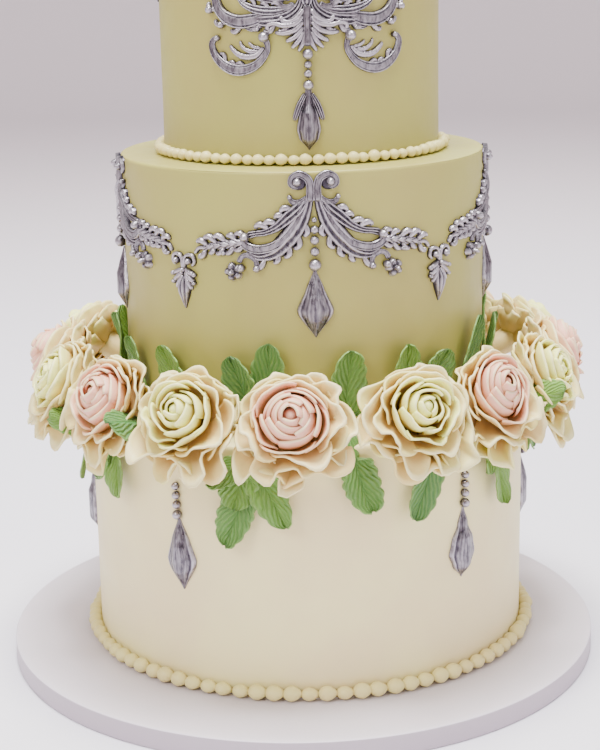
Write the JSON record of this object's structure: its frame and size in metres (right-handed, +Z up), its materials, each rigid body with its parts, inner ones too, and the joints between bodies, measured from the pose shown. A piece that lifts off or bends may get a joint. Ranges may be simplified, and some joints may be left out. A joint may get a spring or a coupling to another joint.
{
  "type": "tiered cake",
  "caption": "Round tiered celebration cake on a drum board, with silver scroll swags and drops, a ring of sugar flowers and leaves, and piped bead borders.",
  "frame": {"origin": "on the tiers' common axis, at the underside of the board", "axes": "+Z up along the tiers' axis; the front, with the large silver ornament and the middle swag joint, faces -Y; +X is to the right as seen from the front"},
  "size_m": [0.356, 0.356, 0.455],
  "materials": {
    "drum_foil": "satin embossed foil paper, pale grey with a pink cast",
    "ivory_icing": "smooth ivory sugar paste, soft sheen",
    "green_icing": "smooth pale yellow-green sugar paste, soft sheen",
    "bead_icing": "piped cream-yellow icing",
    "pink_petals": "sugar petals, peach pink in the centre and cream at the rim",
    "green_petals": "sugar petals, pale green in the centre and cream at the rim",
    "leaf_icing": "piped green icing, slightly glossy",
    "silver_paint": "edible silver paint over sugar paste, dark in the hollows"
  },
  "bodies": {
    "root": {"drum_board": "drum_foil", "tier_bottom": "ivory_icing", "tier_middle": "green_icing", "tier_top": "green_icing", "border_bottom": "bead_icing", "border_top": "bead_icing", "flower_01": "green_petals", "flower_02": "pink_petals", "flower_03": "green_petals", "flower_04": "pink_petals", "flower_05": "green_petals", "flower_06": "pink_petals", "flower_07": "green_petals", "flower_08": "pink_petals", "flower_09": "green_petals", "flower_10": "pink_petals", "flower_11": "green_petals", "flower_12": "pink_petals", "flower_13": "green_petals", "flower_14": "pink_petals", "flower_15": "green_petals", "flower_16": "pink_petals", "leaves_01": "leaf_icing", "leaves_02": "leaf_icing", "leaves_03": "leaf_icing", "leaves_04": "leaf_icing", "leaves_05": "leaf_icing", "leaves_06": "leaf_icing", "leaves_07": "leaf_icing", "leaves_08": "leaf_icing", "leaves_09": "leaf_icing", "leaves_10": "leaf_icing", "leaves_11": "leaf_icing", "leaves_12": "leaf_icing", "leaves_13": "leaf_icing", "leaves_14": "leaf_icing", "leaves_15": "leaf_icing", "leaves_16": "leaf_icing", "swag_1": "silver_paint", "swag_2": "silver_paint", "swag_3": "silver_paint", "swag_4": "silver_paint", "fleur_1": "silver_paint", "fleur_2": "silver_paint", "fleur_3": "silver_paint", "fleur_4": "silver_paint", "drop_1": "silver_paint", "drop_2": "silver_paint", "drop_3": "silver_paint", "drop_4": "silver_paint", "lower_drop_1": "silver_paint", "lower_drop_2": "silver_paint", "lower_drop_3": "silver_paint", "lower_drop_4": "silver_paint", "lower_drop_5": "silver_paint", "lower_drop_6": "silver_paint", "cartouche_1": "silver_paint", "cartouche_2": "silver_paint", "crest_1": "silver_paint", "crest_2": "silver_paint"}
  },
  "joints": []
}
